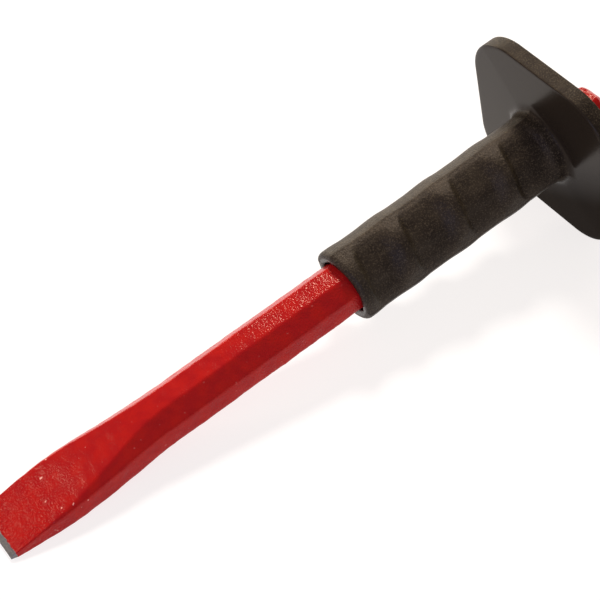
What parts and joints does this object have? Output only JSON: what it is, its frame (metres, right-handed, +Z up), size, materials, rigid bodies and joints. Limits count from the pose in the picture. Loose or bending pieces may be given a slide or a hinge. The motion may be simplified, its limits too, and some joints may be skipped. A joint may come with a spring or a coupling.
{
  "type": "cold chisel with hand guard",
  "caption": "Octagonal steel cold chisel with a flat ground blade, red paint, and a black moulded finger grip with a square hand guard pushed onto the shank.",
  "frame": {"origin": "middle of the footprint, on the surface the chisel lies on", "axes": "+X along the chisel from the cutting edge to the struck head, seen from above; +Y along the cutting edge; +Z up. The tool lies on its blade and on the lower edge of the guard, so its own axis leans up by 8.3 degrees towards the head"},
  "size_m": [0.298, 0.0822, 0.082],
  "materials": {
    "red_paint": "gloss red hammered paint on forged steel",
    "black_moulding": "matt, finely grained soft moulding"
  },
  "bodies": {
    "forging": {"chisel": "red_paint"},
    "guard": {"hand_guard": "black_moulding"}
  },
  "joints": [
    {"name": "guard_slide", "type": "slide", "parent": "forging", "child": "guard", "axis": [0.9894, 0, 0.1451], "range_m": [0, 0.13]}
  ]
}
